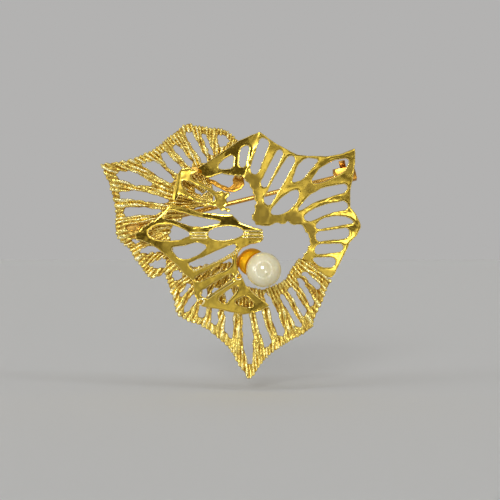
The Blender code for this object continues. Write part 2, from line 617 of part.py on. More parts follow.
def wire(name, bend, radius, finish):
    """A bent wire: a smooth curve with a round bevel and filled ends."""
    curve = bpy.data.curves.new(name, "CURVE")
    curve.dimensions = "3D"
    curve.bevel_depth = radius * MM
    curve.bevel_resolution = 2
    curve.use_fill_caps = True
    spline = curve.splines.new("POLY")
    spline.points.add(WIRE_STEPS)
    for index, point in enumerate(spline.points):
        share = index / WIRE_STEPS
        a, b, c, d = bend
        place = (
            a * (1 - share) ** 3
            + b * 3 * share * (1 - share) ** 2
            + c * 3 * share**2 * (1 - share)
            + d * share**3
        )
        point.co = (*(place * MM), 1)
    part = bpy.data.objects.new(name, curve)
    PARTS.objects.link(part)
    part.parent = FRONT
    curve.materials.append(new_finish(name, finish))
    return part


def lowest_near(height, place, reach):
    """The lowest height of a sheet at the four corners of a rectangle round a place."""
    across, up = reach
    corners = [(place[0] + x, place[1] + y) for x in (-across, across) for y in (-up, up)]
    return min(height(*corner) for corner in corners)


def hinge():
    """A fork with two ears behind the left leaf, its rivet, and the pin that turns on it."""
    leaf_back = left_leaf_height(*HINGE_AT) - CAST_THICKNESS / 2 - PIN_HEIGHT
    low_corner = lowest_near(left_leaf_height, HINGE_AT, FORK_REACH)
    base_top = min(leaf_back, low_corner - CAST_THICKNESS / 2 - PIN_HEIGHT) - SEAM
    base_low = base_top - FORK_BASE_THICKNESS
    ear_outer = EAR_INNER + EAR_THICKNESS
    half = FORK_BASE_LENGTH / 2
    wide = ear_outer + FORK_BASE_LIP
    fork = block((-half, -wide, base_low), (half, wide, base_top))
    steps = []
    for side in (-1, 1):
        inner = side * EAR_INNER
        outer = side * ear_outer
        low = min(inner, outer)
        high = max(inner, outer)
        cheek = block((-EAR_HALF_WIDTH, low, 0), (EAR_HALF_WIDTH, high, base_low + OVERLAP))
        end = along(rod(EAR_RADIUS, EAR_THICKNESS), (0, 1, 0), (0, low, 0))
        steps += [("UNION", cheek), ("UNION", end)]
    hole = drill(RIVET_RADIUS + RIVET_CLEARANCE, -ear_outer, ear_outer, (0, 1, 0))
    steps.append(("DIFFERENCE", hole))
    add_part("hinge_fork", shape(fork, steps), PIN_LINE, "fitting_gold")

    head_from = ear_outer + RIVET_HEAD_GAP
    head_to = head_from + RIVET_HEAD_THICKNESS
    top_radius = RIVET_HEAD_RADIUS * RIVET_HEAD_TOP_SHARE
    head = [
        (0, head_to), (top_radius, head_to), (RIVET_HEAD_RADIUS, head_from + RIVET_HEAD_SIDE),
        (RIVET_HEAD_RADIUS, head_from), (RIVET_RADIUS, head_from),
    ]
    profile = head + [(radius, -height) for radius, height in reversed(head)]
    turned("hinge_rivet", profile, PIN_LINE, "fitting_gold", (0, 0, 0), (0, 1, 0))

    barrel = along(rod(KNUCKLE_RADIUS, KNUCKLE_WIDTH), (0, 1, 0), (0, -KNUCKLE_WIDTH / 2, 0))
    sleeve = along(rod(SLEEVE_RADIUS, SLEEVE_END), (1, 0, 0))
    rivet_hole = drill(RIVET_RADIUS + RIVET_CLEARANCE, -KNUCKLE_WIDTH / 2, KNUCKLE_WIDTH / 2, (0, 1, 0))
    socket = along(rod(STEM_RADIUS + RIVET_CLEARANCE, SLEEVE_END), (1, 0, 0),
                   (STEM_SOCKET_START, 0, 0))
    steps = [("UNION", sleeve), ("DIFFERENCE", rivet_hole), ("DIFFERENCE", socket)]
    add_part("pin_knuckle", shape(barrel, steps), PIN_LINE, "fitting_gold")

    stem = [
        (0, STEM_END), (STEM_POINT_RADIUS, STEM_END - STEM_TIP_LENGTH),
        (STEM_CATCH_RADIUS, STEM_END - STEM_POINT_LENGTH), (STEM_RADIUS, STEM_TAPER_START),
        (STEM_RADIUS, STEM_SOCKET_START + STEM_SOCKET_GAP), (0, STEM_SOCKET_START + STEM_SOCKET_GAP),
    ]
    turned("pin_stem", stem, PIN_LINE, "fitting_gold", (0, 0, 0), (1, 0, 0))


def wedge(radius, length, first, last):
    """A prism along X whose section is a fan between two angles, measured from +Y towards +Z."""
    bm = bmesh.new()
    corners = [bm.verts.new((-length / 2 * MM, 0, 0))]
    for index in range(FAN_STEPS + 1):
        angle = first + (last - first) * index / FAN_STEPS
        corners.append(bm.verts.new((
            -length / 2 * MM, radius * math.cos(angle) * MM, radius * math.sin(angle) * MM,
        )))
    face = bm.faces.new(corners)
    swept = bmesh.ops.extrude_face_region(bm, geom=[face])["geom"]
    verts = [item for item in swept if isinstance(item, bmesh.types.BMVert)]
    bmesh.ops.translate(bm, vec=(length * MM, 0, 0), verts=verts)
    return bm


def catch():
    """A barrel behind the right leaf, open to the rear, with a roller inside that shuts the opening."""
    x = CATCH_REACH
    place = (
        HINGE_AT[0] + x * math.cos(PIN_TILT),
        HINGE_AT[1] + x * math.sin(PIN_TILT),
    )
    half_leaf = POLISHED_THICKNESS / 2 * CATCH_SLOPE_ALLOWANCE
    leaf_back = lowest_near(right_leaf_height, place, CATCH_PLATE_REACH) - half_leaf
    plate_top = leaf_back - PIN_HEIGHT - SEAM
    plate_low = plate_top - CATCH_PLATE_THICKNESS
    half_length = CATCH_PLATE_LENGTH / 2
    half_width = CATCH_PLATE_WIDTH / 2
    plate = block((x - half_length, -half_width, plate_low), (x + half_length, half_width, plate_top))
    add_part("catch_plate", mesh_from(plate, "catch_plate"), PIN_LINE, "fitting_gold")

    start = x - HOUSING_LENGTH / 2
    barrel = along(rod(HOUSING_RADIUS, HOUSING_LENGTH), (1, 0, 0), (start, 0, 0))
    post = block(
        (x - CATCH_POST_LENGTH / 2, -CATCH_POST_WIDTH / 2, HOUSING_BORE + OVERLAP),
        (x + CATCH_POST_LENGTH / 2, CATCH_POST_WIDTH / 2, plate_low - SEAM),
    )
    bore = drill(HOUSING_BORE, start, start + HOUSING_LENGTH, (1, 0, 0))
    mouth = slit(SLOT_WIDTH, start, start + HOUSING_LENGTH)
    window = wedge(WINDOW_REACH, WINDOW_LENGTH, WINDOW_TO, WINDOW_FROM)
    bmesh.ops.translate(window, vec=(x * MM, 0, 0), verts=window.verts)
    steps = [
        ("UNION", post), ("DIFFERENCE", bore), ("DIFFERENCE", mouth), ("DIFFERENCE", window),
    ]
    add_part("catch_housing", shape(barrel, steps), PIN_LINE, "fitting_gold")

    start = x - ROLLER_LENGTH / 2
    roller = along(rod(ROLLER_RADIUS, ROLLER_LENGTH), (1, 0, 0), (start, 0, 0))
    lever = block(
        (x - LEVER_WIDTH / 2, LEVER_ROOT, -LEVER_THICKNESS / 2),
        (x + LEVER_WIDTH / 2, LEVER_LENGTH, LEVER_THICKNESS / 2),
    )
    bmesh.ops.rotate(lever, cent=(0, 0, 0), matrix=Matrix.Rotation(LEVER_ANGLE, 3, "X"),
                     verts=lever.verts)
    bore = drill(ROLLER_BORE, start, start + ROLLER_LENGTH, (1, 0, 0))
    mouth = slit(ROLLER_SLOT_WIDTH, start, start + ROLLER_LENGTH)
    steps = [("UNION", lever), ("DIFFERENCE", bore), ("DIFFERENCE", mouth)]
    add_part("catch_roller", shape(roller, steps), PIN_LINE, "fitting_gold")


clear_scene()
PARTS = new_collection("openwork_leaf_brooch")
CUTTERS = new_collection("cutters")
PIN_MIDDLE = (
    HINGE_AT[0] + CATCH_REACH / 2 * math.cos(PIN_TILT),
    HINGE_AT[1] + CATCH_REACH / 2 * math.sin(PIN_TILT),
)
FRONT = new_empty("front", None, (-PIN_MIDDLE[0], PIN_HEIGHT, -PIN_MIDDLE[1]), (math.pi / 2, 0, 0))
PIN_LINE = new_empty("pin_line", FRONT, (*HINGE_AT, PIN_HEIGHT), (0, 0, PIN_TILT))
leaves()
solder_posts()
pearl_and_setting()
hinge()
catch()
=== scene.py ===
# %% [markdown]
# # An openwork leaf brooch in two golds, with one pearl
# The brooch is built on a fixed frame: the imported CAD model, with its bodies (the brooch, its pin and
# the roller of its catch). Each piece that shows is made here finer than the frame's and rides on one
# of those bodies, so it moves when the pin opens. The frame is in metres, and the work below is in
# millimetres.

# %% Load the frame
import math

import bmesh
import bpy
import numpy as np
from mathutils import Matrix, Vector
from mathutils.geometry import delaunay_2d_cdt
from mathutils.kdtree import KDTree


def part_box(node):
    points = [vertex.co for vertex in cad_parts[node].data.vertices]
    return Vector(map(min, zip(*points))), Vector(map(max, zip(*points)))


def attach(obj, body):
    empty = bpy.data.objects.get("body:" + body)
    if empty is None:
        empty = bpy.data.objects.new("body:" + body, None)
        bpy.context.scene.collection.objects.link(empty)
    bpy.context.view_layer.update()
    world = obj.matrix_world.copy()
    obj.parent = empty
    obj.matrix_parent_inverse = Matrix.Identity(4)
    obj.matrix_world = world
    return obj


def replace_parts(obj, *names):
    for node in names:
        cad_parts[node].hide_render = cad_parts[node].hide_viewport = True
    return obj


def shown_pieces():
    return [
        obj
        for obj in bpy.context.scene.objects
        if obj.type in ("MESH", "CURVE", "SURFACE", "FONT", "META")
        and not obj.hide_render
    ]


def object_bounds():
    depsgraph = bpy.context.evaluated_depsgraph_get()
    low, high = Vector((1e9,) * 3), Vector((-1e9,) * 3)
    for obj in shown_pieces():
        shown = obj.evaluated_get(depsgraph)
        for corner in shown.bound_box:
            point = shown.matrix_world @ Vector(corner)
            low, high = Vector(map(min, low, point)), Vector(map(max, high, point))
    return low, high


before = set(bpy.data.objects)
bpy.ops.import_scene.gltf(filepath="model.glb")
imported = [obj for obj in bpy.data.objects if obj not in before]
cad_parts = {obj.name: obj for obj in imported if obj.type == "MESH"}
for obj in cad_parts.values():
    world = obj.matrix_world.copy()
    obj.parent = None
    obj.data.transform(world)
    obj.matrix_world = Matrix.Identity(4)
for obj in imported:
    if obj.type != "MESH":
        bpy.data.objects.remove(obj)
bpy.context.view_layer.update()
MM = 0.001
TINY = 1e-12

# %% [markdown]
# ## Reading a sheet from the frame
# A pierced leaf is a sheet with an outline and openings. The frame's solid has them as hard corners.
# Its front faces look at -Y, and where they stop is a rim, so the rims are found by following the
# edges that only one front face uses. The goldsmith's saw and file leave no hard corners, so each rim
# is walked in even steps and its corners are softened.

# %% Helpers that read a sheet
WELD_DIGITS = 3
SLIVER = 0.01
FEWEST_STEPS = 16


def welded(name):
    """A node's corners (x, y, z) in millimetres, its triangles, and how each of them faces along Y."""
    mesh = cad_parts[name].data
    mesh.calc_loop_triangles()
    corners = np.array([v.co for v in mesh.vertices]) / MM
    corners, number = np.unique(corners.round(WELD_DIGITS), axis=0, return_inverse=True)
    triangles = number.reshape(-1)[np.array([t.vertices[:] for t in mesh.loop_triangles])]
    a, b, c = (corners[triangles[:, i]] for i in range(3))
    normal = np.cross(b - a, c - a)
    normal /= np.linalg.norm(normal, axis=1, keepdims=True) + TINY
    return corners, triangles, normal[:, 1]


def side_of_sheet(triangles, chosen):
    """The triangles that lie wholly on the points of the chosen ones, slivers among them."""
    return triangles[np.isin(triangles, np.unique(triangles[chosen])).all(1)]


def area_of(loop):
    """Signed area inside a closed line, in square millimetres."""
    x, z = loop.T
    return 0.5 * (x * np.roll(z, -1) - z * np.roll(x, -1)).sum()


def rims(corners, triangles):
    """The closed loops (x, z) round the outline and every opening, with metal on their left."""
    used = {(t[i], t[(i + 1) % 3]) for t in triangles.tolist() for i in range(3)}
    onward = {}
    for a, b in sorted(used):
        if (b, a) not in used:
            onward.setdefault(a, []).append(b)
    loops = []
    while onward:
        path = [next(iter(onward))]
        while path[-1] in onward:
            here = path[-1]
            step = onward[here].pop()
            if not onward[here]:
                del onward[here]
            if step in path:
                first = path.index(step)
                loops.append(corners[path[first:]][:, [0, 2]])
                path = path[: first + 1]
            else:
                path.append(step)
    return [loop for loop in loops if abs(area_of(loop)) > SLIVER]


def walk(loop, step, soften):
    """The same closed line in even steps, with its corners softened."""
    ring = np.vstack([loop, loop[:1]])
    run = np.concatenate([[0], np.cumsum(np.linalg.norm(np.diff(ring, axis=0), axis=1))])
    count = max(FEWEST_STEPS, round(run[-1] / step))
    even = np.linspace(0, run[-1], count, endpoint=False)
    points = np.column_stack([np.interp(even, run, ring[:, k]) for k in (0, 1)])
    calm = np.exp(-2 * (np.pi * np.fft.fftfreq(count, run[-1] / count) * soften) ** 2)[:, None]
    return np.fft.ifft(np.fft.fft(points, axis=0) * calm, axis=0).real


def inward(points):
    """The direction into the metal at each point of a rim."""
    run = np.roll(points, -1, axis=0) - np.roll(points, 1, axis=0)
    turned = np.column_stack([-run[:, 1], run[:, 0]])
    return turned / (np.linalg.norm(turned, axis=1, keepdims=True) + TINY)


print("sheets are read with slivers under", SLIVER, "square mm left out")

# %% [markdown]
# A sheet is bent as well as pierced. Its height towards the viewer is a short formula: a plane, a dish
# and, on a folded leaf, the fall on either side of its fold. The formula's amounts are fitted to the
# frame's own corners by least squares, which gives a smooth surface through a faceted one.

# %% Fit a smooth height to a sheet
FOLD_ROUNDNESS = 0.3


def soft(distance):
    """A distance from a fold whose corner at zero is rounded off."""
    return np.hypot(distance, FOLD_ROUNDNESS) - FOLD_ROUNDNESS


def dished(x, z):
    """The terms of a sheet that leans and is hollowed like a dish."""
    return [np.ones_like(x), x, z, x * x, x * z, z * z]


def folded_at(top, foot):
    """The terms of a sheet folded along a line that runs from its top to its foot."""
    run = np.array(foot) - top
    run = run / np.linalg.norm(run)

    def basis(x, z):
        side = (z - top[1]) * run[0] - (x - top[0]) * run[1]
        return dished(x, z) + [soft(side), soft(np.minimum(side, 0)), np.maximum(side, 0) ** 2]

    return basis


def fitted(points, basis):
    """A function of (x, z) that follows points (x, height, z), and its largest error."""
    terms = np.column_stack(basis(points[:, 0], points[:, 2]))
    amounts = np.linalg.lstsq(terms, points[:, 1], rcond=None)[0]
    error = np.abs(terms @ amounts - points[:, 1]).max()
    return lambda x, z: sum(a * t for a, t in zip(amounts, basis(x, z))), error


print("folds are rounded to", FOLD_ROUNDNESS, "mm")

# %% [markdown]
# ## Filling a sheet with a mesh
# A sheet could be a filled curve with a bevel, but that gives long thin triangles that can't carry
# relief. Here the rims, a few lines just inside them and an even grid are joined by a constrained
# Delaunay triangulation. The lines inside a rim sit where a rounded edge needs them, so that the
# edge shows as a true curve that catches the light.

# %% Plan a sheet's mesh
EDGE_LINES = (0.0, 0.076, 0.293, 0.617, 1.0)
UNCROWDED = 0.97
GRID_ROW = 0.866
GRID_CLEARANCE = 0.45
SAME_POINT = 1e-6


def tree_of(points):
    tree = KDTree(len(points))
    for index, (x, z) in enumerate(points.tolist()):
        tree.insert((x, z, 0), index)
    tree.balance()
    return tree


def nearest(tree, points):
    """The number of the nearest point of a tree to each of some points, and its distance."""
    found = [tree.find((x, z, 0))[1:] for x, z in points.tolist()]
    return np.array([f[0] for f in found], int), np.array([f[1] for f in found])


def plan(loops, edge, step):
    """Points (x, z) over the metal, its triangles, each point's distance from a rim, and rim edges."""
    rim = np.vstack(loops)
    into = np.vstack([inward(loop) for loop in loops])
    tree = tree_of(rim)
    layers = [rim]
    for share in EDGE_LINES[1:]:
        line = rim + into * share * edge
        layers.append(line[nearest(tree, line)[1] > UNCROWDED * share * edge])
    low, high = rim.min(0), rim.max(0)
    across, up = np.arange(low[0], high[0], step), np.arange(low[1], high[1], step * GRID_ROW)
    grid = np.stack(np.meshgrid(across, up), axis=-1)
    grid[1::2, :, 0] += step / 2
    grid = grid.reshape(-1, 2)
    index, distance = nearest(tree, grid)
    inside = ((grid - rim[index]) * into[index]).sum(1) > 0
    layers.append(grid[inside & (distance > edge + GRID_CLEARANCE * step)])
    points = np.vstack(layers)
    edges, first = [], 0
    for loop in loops:
        edges += [(first + i, first + (i + 1) % len(loop)) for i in range(len(loop))]
        first += len(loop)
    made = delaunay_2d_cdt([Vector(p) for p in points.tolist()], edges, [], 2, SAME_POINT)
    new = {old: number for number, olds in enumerate(made[3]) for old in olds}
    points = np.array([tuple(p) for p in made[0]])
    corners = np.array([f for f in made[2] if len(f) == 3])
    centres = points[corners].mean(1)
    index, _ = nearest(tree, centres)
    metal = ((centres - rim[index]) * into[index]).sum(1) > 0
    faces = [tuple(face) for face in corners[metal].tolist()]
    rim_edges = [(new[a], new[b]) for a, b in edges if a in new and b in new and new[a] != new[b]]
    return points, faces, nearest(tree, points)[1], rim_edges


def rounded(distance, edge):
    """How far a rounded edge has dropped at a distance from the rim."""
    gone = np.clip(edge - distance, 0, edge)
    return edge - np.sqrt(np.maximum(edge**2 - gone**2, 0))


print("a rounded edge takes", len(EDGE_LINES), "lines")

# %% [markdown]
# ## Bark and polish
# The two outer leaves are cast from wax that was scored with a point, so strands run out from the
# stalk and break up like bark. The other leaves were burnished after casting, and only a faint
# unevenness of the metal is left. Both come from one lattice of random heights, drawn out along the
# strands for bark and kept broad and shallow for polish. It is seeded, so each run gives the same.

# %% Random relief
TABLE_SIZE = 4096
SCATTER_ACROSS, SCATTER_UP = 73856093, 19349663


def relief(u, v, seed):
    """Smooth random heights from 0 to 1 on a lattice of unit squares."""
    table = np.random.default_rng(seed).random(TABLE_SIZE)
    iu, iv = np.floor(u).astype(np.int64), np.floor(v).astype(np.int64)
    fu, fv = u - iu, v - iv
    fu, fv = fu * fu * (3 - 2 * fu), fv * fv * (3 - 2 * fv)

    def corner(a, b):
        return table[((a * SCATTER_ACROSS) ^ (b * SCATTER_UP)) & (TABLE_SIZE - 1)]

    low = corner(iu, iv) * (1 - fu) + corner(iu + 1, iv) * fu
    high = corner(iu, iv + 1) * (1 - fu) + corner(iu + 1, iv + 1) * fu
    return low * (1 - fv) + high * fv


def mottle(x, z, size, seed):
    """The same heights over a sheet, in patches of a size in millimetres."""
    return relief(x / size, z / size, seed)


print("relief from", TABLE_SIZE, "heights")

# %% [markdown]
# Strands keep about one width as they spread, so they have to split on their way out. Four fans of
# strands are laid over each other, each with half the turn of the one before, and at any reach the
# fan whose strands have the right width there counts most. A strand wanders and fades along its run.

# %% Strands of bark
STRAND_SPACING = 0.66
STRAND_TURN = 0.046
SPLITS = range(-1, 3)
SPLIT_BLEND = 0.2
LEAST_FIT = 1e-9
WANDER, WANDER_ALONG, WANDER_ACROSS = 1.1, 0.4, 0.3
FADE_ACROSS, FADE_ALONG, FADED = 1.37, 0.8, 0.2
CREST_SHAPE = 0.8
FINE_WIDTH, FINE_LENGTH, GRAIN_SIZE = 0.17, 0.8, 0.2
STRAND_SHARE, FINE_SHARE, GRAIN_SHARE, GROOVE_LEVEL = 0.95, 0.28, 0.22, 0.16


def strands(x, z, hub, aim, seed):
    """Bark from 0 in its grooves to 1 on its crests, in strands that run out from a hub."""
    dx, dz = x - hub[0], z - hub[1]
    reach = np.hypot(dx, dz)
    angle = np.arctan2(aim[0] * dz - aim[1] * dx, aim[0] * dx + aim[1] * dz)
    total, weights = 0, 0
    for split in SPLITS:
        turn = STRAND_TURN / 2.0**split
        fit = np.exp(-(np.log2(reach * turn / STRAND_SPACING) ** 2) / SPLIT_BLEND) + LEAST_FIT
        wander = relief(reach * WANDER_ALONG, angle / turn * WANDER_ACROSS, seed + split)
        phase = angle / turn + WANDER * wander
        strength = relief(np.floor(phase) * FADE_ACROSS, reach * FADE_ALONG, seed + 20 + split)
        crest = fit * np.abs(np.sin(math.pi * phase)) ** CREST_SHAPE
        total = total + crest * (FADED + (1 - FADED) * strength)
        weights = weights + fit
    fine = relief(angle * reach / FINE_WIDTH, reach / FINE_LENGTH, seed + 9)
    grain = mottle(x, z, GRAIN_SIZE, seed + 11)
    bark = STRAND_SHARE * total / weights + FINE_SHARE * fine + GRAIN_SHARE * grain - GROOVE_LEVEL
    return np.clip(bark, 0, 1)


print("strands about", STRAND_SPACING, "mm apart")

# %% [markdown]
# ## Building one leaf
# The front, the back and the walls between them are one closed mesh. The front carries the relief and
# the back a fainter copy, because the back of a casting is filed. The relief is also kept on the
# points as a number, so that the finish can paint shade into the grooves and a highlight on the crests.

# %% Make a leaf
FACING = 0.3
REAR_EDGE = 0.7
REAR_RELIEF = 0.25
# the back's crest number is squeezed into a middle range, for a milder painted shade and highlight
REAR_WEAR, REAR_WORN = 0.5, 0.3


def new_piece(name, points, faces):
    """A smooth piece from points in millimetres."""
    mesh = bpy.data.meshes.new(name)
    mesh.from_pydata((np.asarray(points) * MM).tolist(), [], faces)
    mesh.validate()
    mesh.shade_smooth()
    made = bpy.data.objects.new(name, mesh)
    bpy.context.scene.collection.objects.link(made)
    return made


def wear(piece, values):
    """Keeps one number for each point, 0 in the grooves and 1 on the crests, for painted shade and
    highlight.
    """
    piece.data.attributes.new("crest", "FLOAT", "POINT").data.foreach_set(
        "value", np.asarray(values, np.float32)
    )


def make_leaf(name, node, basis, step, soften, edge, texture, ragged):
    """A leaf from a CAD sheet. texture gives (lift in mm, crest from 0 to 1) at x, z and rim distance,
    and ragged gives how far out the rim goes at x, z, on the outline or on an opening."""
    corners, triangles, facing = welded(node)
    front = side_of_sheet(triangles, facing < -FACING)
    back = side_of_sheet(triangles, facing > FACING)
    height, error = fitted(corners[np.unique(front)] * (1, -1, 1), basis)
    rear, rear_error = fitted(corners[np.unique(back)] * (1, -1, 1), basis)
    loops = [walk(loop, step, soften) for loop in rims(corners, front)]
    loops = [loop - inward(loop) * ragged(*loop.T, area_of(loop) > 0)[:, None] for loop in loops]
    points, faces, distance, rim_edges = plan(loops, edge, step)
    x, z = points.T
    lift, crest = texture(x, z, distance)
    top = height(x, z) - rounded(distance, edge) + lift
    bottom = rear(x, z) + rounded(distance, edge * REAR_EDGE) - REAR_RELIEF * (lift - lift.mean())
    count = len(x)
    skin = np.vstack([np.column_stack([x, -top, z]), np.column_stack([x, -bottom, z])])
    faces = (
        faces
        + [tuple(count + i for i in reversed(face)) for face in faces]
        + [(b, a, a + count, b + count) for a, b in rim_edges]
    )
    leaf = new_piece(name, skin, faces)
    wear(leaf, np.concatenate([crest, crest * REAR_WEAR + REAR_WORN]))
    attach(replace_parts(leaf, node), "brooch")
    print(name, len(loops) - 1, "openings", len(faces), "faces, fit within",
          round(max(error, rear_error), 3), "mm")
    return leaf


# %% [markdown]
# ## The two bark leaves
# The strands of each bark leaf spread from its stalk end, the left leaf's behind the petal and the
# lower leaf's behind the pearl. The rims are notched where grooves run over them.

# %% Bark leaves
BARK_DEPTH = 0.45
BARK_LEVEL = 0.8
BARK_EDGE = 0.2
BARK_NOTCH = 0.42
BARK_STEP = 0.088
BARK_SOFTENING = 0.12


def spot(node, across, up):
    """A place (x, z) in millimetres, as shares of a node's width and height."""
    low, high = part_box(node)
    return ((low.x + (high.x - low.x) * across) / MM, (low.z + (high.z - low.z) * up) / MM)


def bark_leaf(name, node, hub, seed):
    """A cast leaf whose strands leave the hub and fan out round its middle."""
    aim = np.array(spot(node, 0.5, 0.5)) - hub
    aim = aim / np.hypot(*aim)

    def texture(x, z, distance):
        crest = strands(x, z, hub, aim, seed)
        return BARK_DEPTH * (crest - BARK_LEVEL), crest

    def ragged(x, z, outline):
        return BARK_NOTCH * (strands(x, z, hub, aim, seed) - 0.5)

    leaf = make_leaf(name, node, dished, BARK_STEP, BARK_SOFTENING, BARK_EDGE, texture, ragged)


bark_leaf("left_bark_leaf", "left_leaf", spot("left_leaf", 0.82, 0.475), 21)
bark_leaf("lower_bark_leaf", "bottom_leaf", spot("bottom_leaf", 0.481, 1.31), 47)

# %% [markdown]
# ## The polished leaves
# A burnished sheet keeps a low bead along its rims, where the tool stopped, and it shows as a bright
# line round every opening; the rims are also painted pale, as a painted highlight. Inside the bead the
# metal is a little uneven, which mottles what it mirrors, and patches of it are rougher and painted
# darker, as painted shade. Round the open middle of the brooch the right leaf looks only brushed, as
# metal does where a burnisher can't reach: it is rougher there and painted darker, as painted shade.
# Its inner edge is left torn as it was cast.

# %% Polished leaves
BEAD_HEIGHT, BEAD_PLACE, BEAD_WIDTH = 0.045, 0.085, 0.06
UNEVEN = ((1.7, 0.1), (0.62, 0.03))
LEVEL_RIM = 0.4
POLISHED_EDGE = 0.13
POLISHED_STEP = 0.125
POLISHED_SOFTENING = 0.1
BURNISHED = 0.42
# raised height at which the work gets the full painted highlight
RUBBED_HEIGHT = 0.1
DULL_SIZE, DULL_GAIN, DULL_START, DULLEST = 3.1, 3, 1.8, 0.6
SPECKLE_SIZE, SPECKLE_LEAST, SPECKLE_SPREAD = 0.6, 0.62, 0.5
DISC_FADE = 1.2
WAVER, WAVER_SIZE = 0.1, 0.7
TEAR, TEAR_SIZE = 0.5, 0.5


def unevenness(x, z, seed):
    """Broad and close unevenness of a burnished face, in millimetres."""
    broad, close = (height * (mottle(x, z, size, seed + layer) - 0.5)
                    for layer, (size, height) in enumerate(UNEVEN))
    return broad + close


def bead(distance):
    return BEAD_HEIGHT * np.exp(-(((distance - BEAD_PLACE) / BEAD_WIDTH) ** 2))


def discs(node, *places):
    """Discs (middle, radius in mm) from places (across, up, radius) on a node."""
    return [(spot(node, across, up), radius) for across, up, radius in places]


def within(x, z, chosen):
    """1 inside any of some discs, and 0 outside them all."""
    depths = [radius - np.hypot(x - middle[0], z - middle[1]) for middle, radius in chosen]
    return np.clip(DISC_FADE * np.max(depths, axis=0), 0, 1)


def polished_leaf(name, node, basis, seed, step=POLISHED_STEP, work=None, brushed=(), torn=()):
    """A burnished leaf, with some discs left brushed, rougher and painted darker as painted shade, and
    the outline torn inside some others.
    """

    def texture(x, z, distance):
        lift = bead(distance) + unevenness(x, z, seed) * np.clip(distance / LEVEL_RIM, 0, 1)
        # painted highlight: the rims, and any raised work, are marked to be painted pale
        rubbed = np.exp(-((distance / POLISHED_EDGE) ** 2))
        if work:
            raised = work(x, z)
            lift = lift + raised
            rubbed = np.maximum(rubbed, np.clip(raised / RUBBED_HEIGHT, 0, 1))
        # painted shade: patches at random are rougher and painted darker
        dull = np.clip(DULL_GAIN * mottle(x, z, DULL_SIZE, seed + 3) - DULL_START, 0, DULLEST)
        # painted shade: the brushed discs are rougher and painted darker still
        if brushed:
            speckle = SPECKLE_LEAST + SPECKLE_SPREAD * mottle(x, z, SPECKLE_SIZE, seed + 9)
            dull = np.maximum(dull, np.clip(within(x, z, brushed) * speckle, 0, 1))
        return lift, np.maximum(rubbed, BURNISHED * (1 - dull))

    def ragged(x, z, outline):
        out = WAVER * (mottle(x, z, WAVER_SIZE, seed + 5) - 0.5)
        if outline and torn:
            out = out + TEAR * within(x, z, torn) * (mottle(x, z, TEAR_SIZE, seed + 6) - 0.5)
        return out

    leaf = make_leaf(name, node, basis, step, POLISHED_SOFTENING, POLISHED_EDGE, texture, ragged)


# the right leaf's brushed discs are rougher and painted darker, as painted shade
polished_leaf(
    "right_polished_leaf", "right_leaf",
    folded_at(spot("right_leaf", 0.407, 0.973), spot("right_leaf", 0.315, 0.66)), 5,
    brushed=discs("right_leaf", (0.4, 0.44, 2.3), (0.5, 0.4, 1.7), (0.6, 0.4, 2.1),
                  (0.68, 0.32, 2.0), (0.715, 0.26, 1.5), (0.36, 0.66, 1.9), (0.34, 0.56, 2.0),
                  (0.7, 0.62, 1.5), (0.94, 0.76, 1.7)),
    torn=discs("right_leaf", (0.513, 0.232, 5.8), (0.258, 0.532, 5.0)),
)
polished_leaf(
    "folded_petal", "upper_petal",
    folded_at(spot("upper_petal", 0.194, 0.971), spot("upper_petal", 0.097, 0.257)), 8,
    torn=discs("upper_petal", (0.95, 0.3, 2.6)),
)
polished_leaf("rear_arch_piece", "rear_arch", dished, 11)

# %% [markdown]
# The centre leaf has more work on it. Three parallel ribs run along its ridge between the two eye
# shaped openings and on to its tip, one bar is reeded across like a coin's edge, and a pair of ribs
# ends in two small eyelets. They are raised in the sheet itself, since they were carved in its wax.

# %% Ribs, reeds and eyelets of the centre leaf
CENTRE_STEP = 0.085
END_FADE, SIDE_FADE = 14, 6
REED_FLOOR = 0.9
RING_WIDTH, PIT_DEPTH, PIT_SIZE = 0.3, 0.25, 0.55
PAIR_START, PAIR_END = 0.12, 0.88


def on_bar(x, z, start, end):
    """Place along a bar from 0 to 1, and the distance from its middle line, in millimetres."""
    run = np.subtract(end, start)
    length = np.hypot(*run)
    dx, dz = x - start[0], z - start[1]
    return (dx * run[0] + dz * run[1]) / length**2, (dz * run[0] - dx * run[1]) / length


def between_ends(along):
    """1 along a bar, fading to 0 at both ends."""
    return np.clip(np.minimum(along, 1 - along) * END_FADE, 0, 1)


def ribs(x, z, start, end, offsets, height=0.13, width=0.1):
    """Raised lines side by side along a bar."""
    along, off = on_bar(x, z, start, end)
    return height * between_ends(along) * sum(np.exp(-(((off - o) / width) ** 2)) for o in offsets)


def reeds(x, z, start, end, half_width, pitch, height=0.09):
    """Fine ridges across a bar."""
    along, off = on_bar(x, z, start, end)
    held = between_ends(along) * np.clip((half_width - np.abs(off)) * SIDE_FADE, 0, 1)
    return height * held * (REED_FLOOR + np.cos(math.tau * along * math.dist(start, end) / pitch))


def eyelet(x, z, middle, run, size=(0.6, 0.42), height=0.16):
    """A small oval ring round a pit."""
    along, off = on_bar(x, z, middle, np.add(middle, run))
    reach = np.hypot(along * math.hypot(*run) / size[0], off / size[1])
    ring = height * np.exp(-(((reach - 1) / RING_WIDTH) ** 2))
    return ring - PIT_DEPTH * np.exp(-((reach / PIT_SIZE) ** 4))


